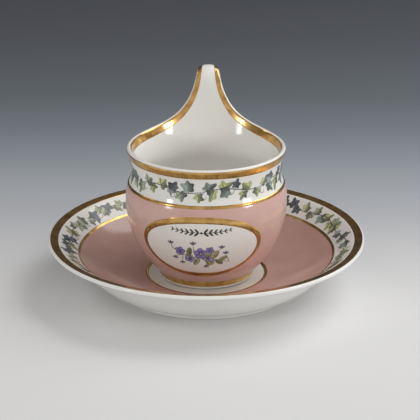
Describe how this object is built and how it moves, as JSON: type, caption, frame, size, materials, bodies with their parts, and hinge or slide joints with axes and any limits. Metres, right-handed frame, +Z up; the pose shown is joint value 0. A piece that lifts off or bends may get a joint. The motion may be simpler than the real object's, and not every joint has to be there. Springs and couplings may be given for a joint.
{
  "type": "porcelain cup and saucer",
  "caption": "Bulbous porcelain cup with a flared rim that sweeps up at the back into a strap handle, standing loose in the well of its deep saucer.",
  "frame": {"origin": "middle of the saucer's foot ring, on the surface that it stands on", "axes": "+Z up, -Y towards the painted front of the cup, +Y towards the handle"},
  "size_m": [0.1618, 0.1618, 0.1025],
  "materials": {
    "white_glaze": "clear gloss glaze on white porcelain",
    "rose_glaze": "glossy rose ground colour under the glaze",
    "gilding": "burnished gilding on porcelain",
    "enamel_painting": "enamel colours painted over the glaze"
  },
  "bodies": {
    "saucer": {"saucer_dish": "rose_glaze", "saucer_foot_ring": "white_glaze"},
    "cup": {"cup_bowl": "rose_glaze", "cup_foot_ring": "gilding", "cup_handle": "white_glaze"}
  },
  "joints": [
    {"name": "cup_lift", "type": "slide", "parent": "saucer", "child": "cup", "axis": [0, 0, 1], "range_m": [0, 0.12]}
  ]
}
